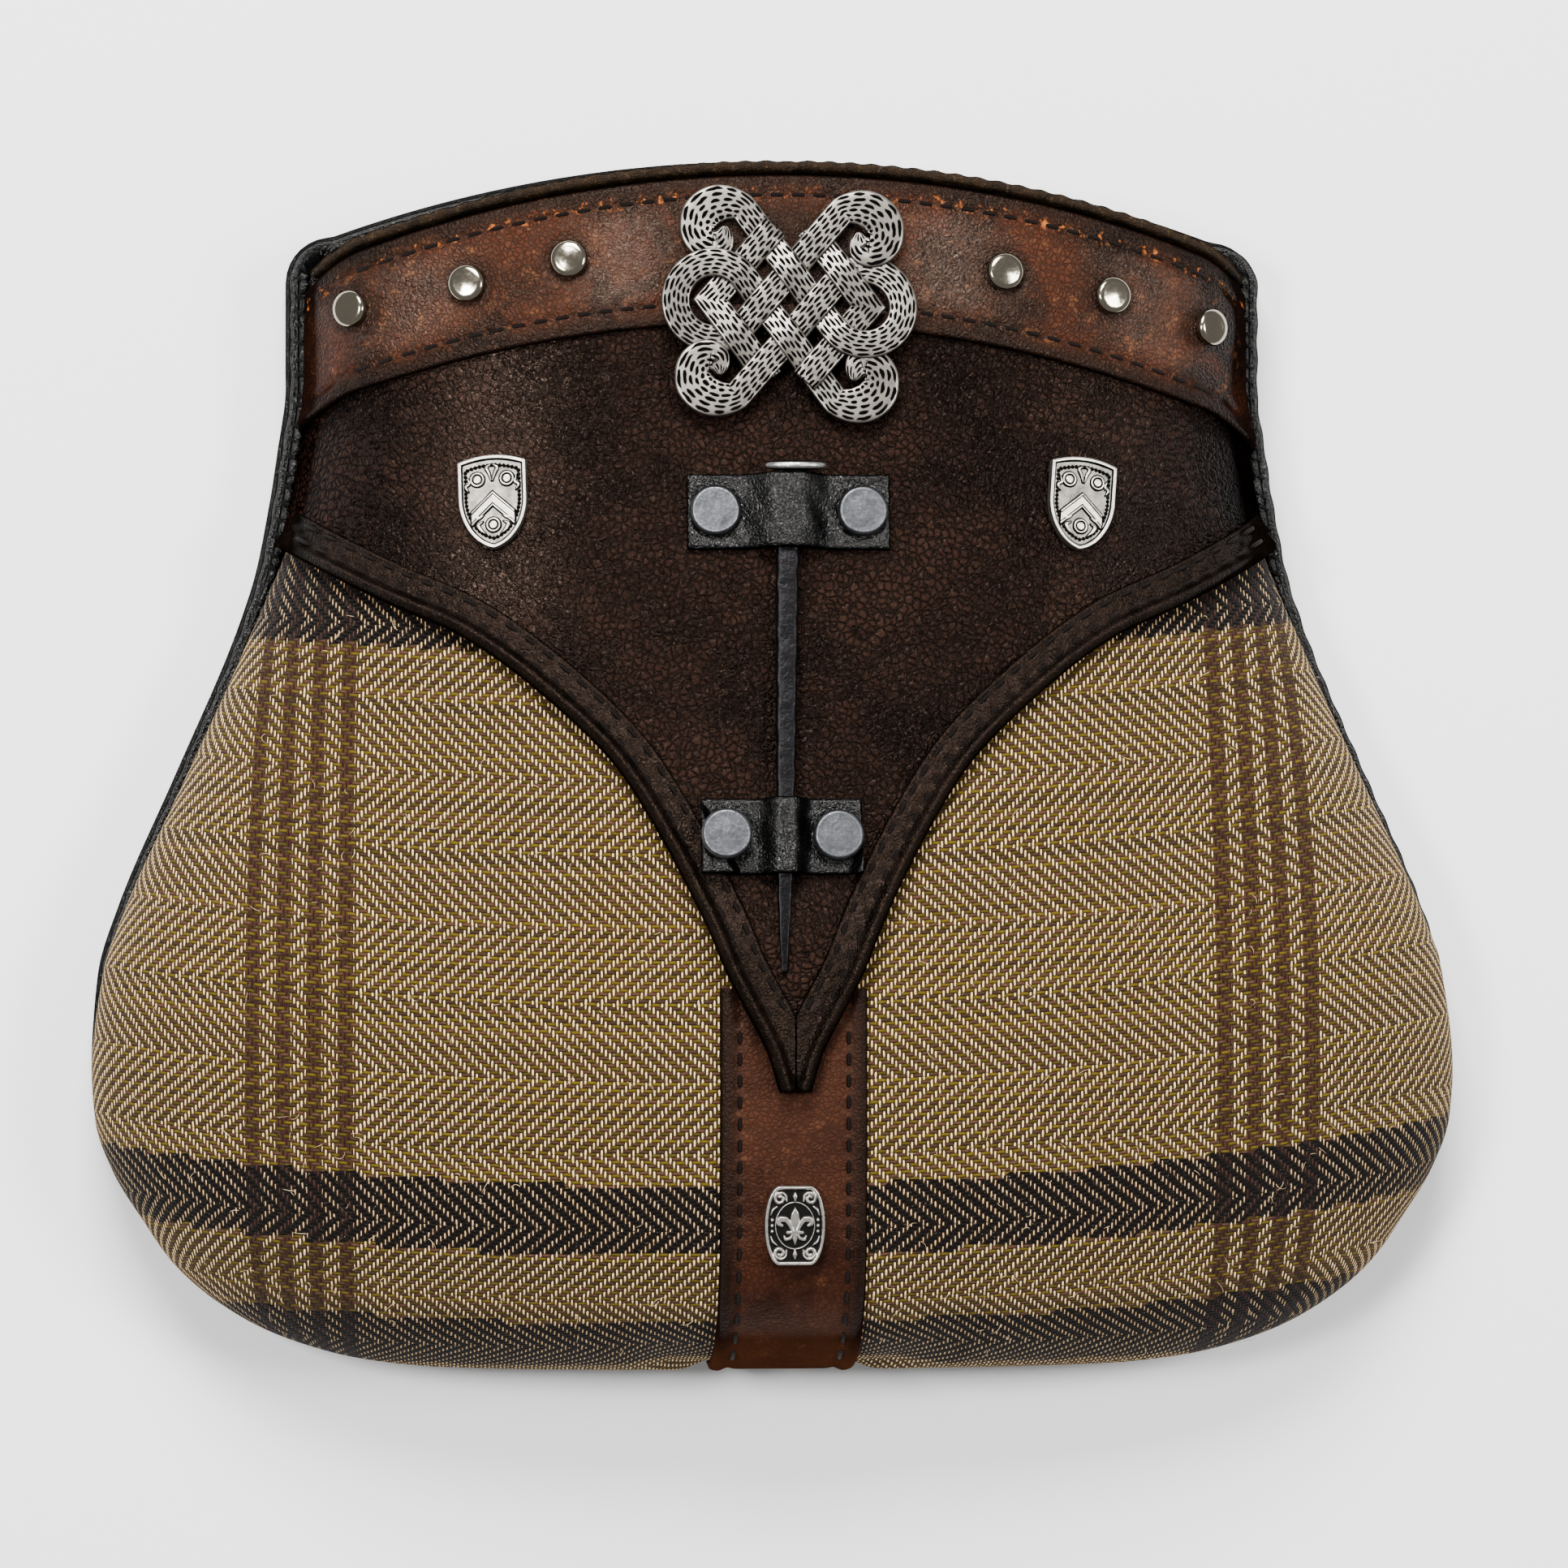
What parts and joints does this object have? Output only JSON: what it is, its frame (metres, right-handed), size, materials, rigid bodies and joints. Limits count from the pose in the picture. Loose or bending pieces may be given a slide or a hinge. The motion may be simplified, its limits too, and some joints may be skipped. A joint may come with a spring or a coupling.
{
  "type": "sporran pouch",
  "caption": "Pear-shaped sporran pouch with a domed hollow tweed front, leather yoke and band, metal ornaments, a flat leather back and a belt loop",
  "frame": {"origin": "middle of the underside of the box, on the surface that the pouch lies on", "axes": "+X to the right and +Y towards the mouth in the front view, +Z out of the front"},
  "size_m": [0.2562, 0.2272, 0.0614],
  "materials": {
    "tweed": "herringbone wool tweed, rough",
    "dark_leather": "pebbled, satin",
    "trim_leather": "smooth, satin",
    "band_leather": "distressed, satin",
    "strap_leather": "creased, satin",
    "lip_leather": "smooth, satin",
    "black_leather": "grained, polished",
    "antique_silver": "antique silver, blackened hollows",
    "polished_nickel": "polished",
    "gunmetal": "satin gunmetal with bright edge",
    "forged_steel": "dark, hammered"
  },
  "bodies": {
    "root": {"tweed_front": "tweed", "yoke": "dark_leather", "top_band": "band_leather", "trim_left": "trim_leather", "trim_right": "trim_leather", "centre_strap": "strap_leather", "lip_binding": "lip_leather", "edge_binding": "black_leather", "back_panel": "black_leather", "belt_loop": "black_leather", "nail": "forged_steel", "keeper_upper": "black_leather", "keeper_lower": "black_leather", "shield_left": "antique_silver", "shield_right": "antique_silver", "lily_badge": "antique_silver", "knot_brooch": "antique_silver", "stud_1": "polished_nickel", "stud_2": "polished_nickel", "stud_3": "polished_nickel", "stud_4": "polished_nickel", "stud_5": "polished_nickel", "stud_6": "polished_nickel", "keeper_rivet_1": "gunmetal", "keeper_rivet_2": "gunmetal", "keeper_rivet_3": "gunmetal", "keeper_rivet_4": "gunmetal"}
  },
  "joints": []
}
